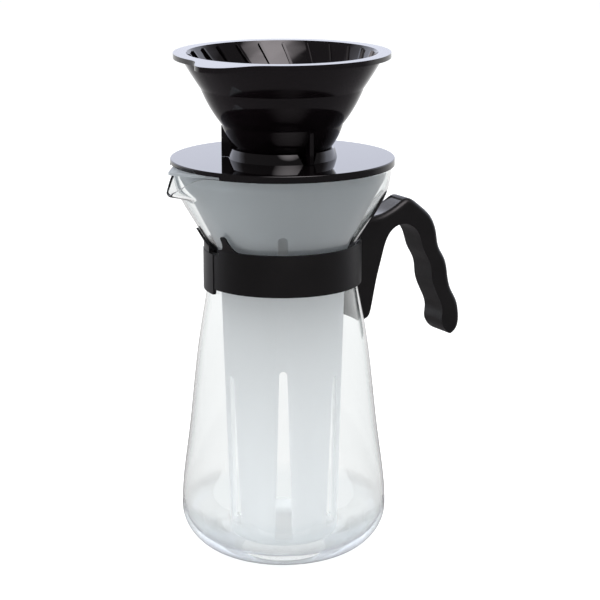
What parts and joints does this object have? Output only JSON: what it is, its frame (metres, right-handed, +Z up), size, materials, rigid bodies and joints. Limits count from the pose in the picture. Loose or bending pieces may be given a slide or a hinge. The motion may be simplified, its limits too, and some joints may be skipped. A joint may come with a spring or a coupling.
{
  "type": "iced coffee maker",
  "caption": "Waisted glass carafe with a clip-on handle, carrying a slotted ice strainer, a disc stand and a ribbed cone dripper that lift off in turn.",
  "frame": {"origin": "centre of the carafe's flat base, on the axis of the carafe, strainer, stand and dripper", "axes": "+Z up along that axis, +X towards the handle, -X towards the pouring spout"},
  "size_m": [0.1847, 0.124, 0.285],
  "materials": {
    "carafe_glass": "clear blown borosilicate glass",
    "handle_plastic": "matte moulded black polypropylene",
    "thumb_rest_plastic": "glossy moulded black",
    "screw_steel": "plated steel",
    "strainer_plastic": "frosted translucent polypropylene",
    "stand_plastic": "mirror-gloss moulded black",
    "dripper_plastic": "glossy moulded black"
  },
  "bodies": {
    "carafe_body": {"carafe": "carafe_glass", "handle_half_left": "handle_plastic", "handle_half_right": "handle_plastic", "thumb_rest": "thumb_rest_plastic", "handle_screws": "screw_steel"},
    "strainer_body": {"strainer": "strainer_plastic"},
    "stand_body": {"dripper_stand": "stand_plastic"},
    "dripper_body": {"dripper": "dripper_plastic"}
  },
  "joints": [
    {"name": "strainer_lift", "type": "slide", "parent": "carafe_body", "child": "strainer_body", "axis": [0, 0, 1], "range_m": [0, 0.22]},
    {"name": "stand_lift", "type": "slide", "parent": "strainer_body", "child": "stand_body", "axis": [0, 0, 1], "range_m": [0, 0.03]},
    {"name": "dripper_lift", "type": "slide", "parent": "stand_body", "child": "dripper_body", "axis": [0, 0, 1], "range_m": [0, 0.04]}
  ]
}
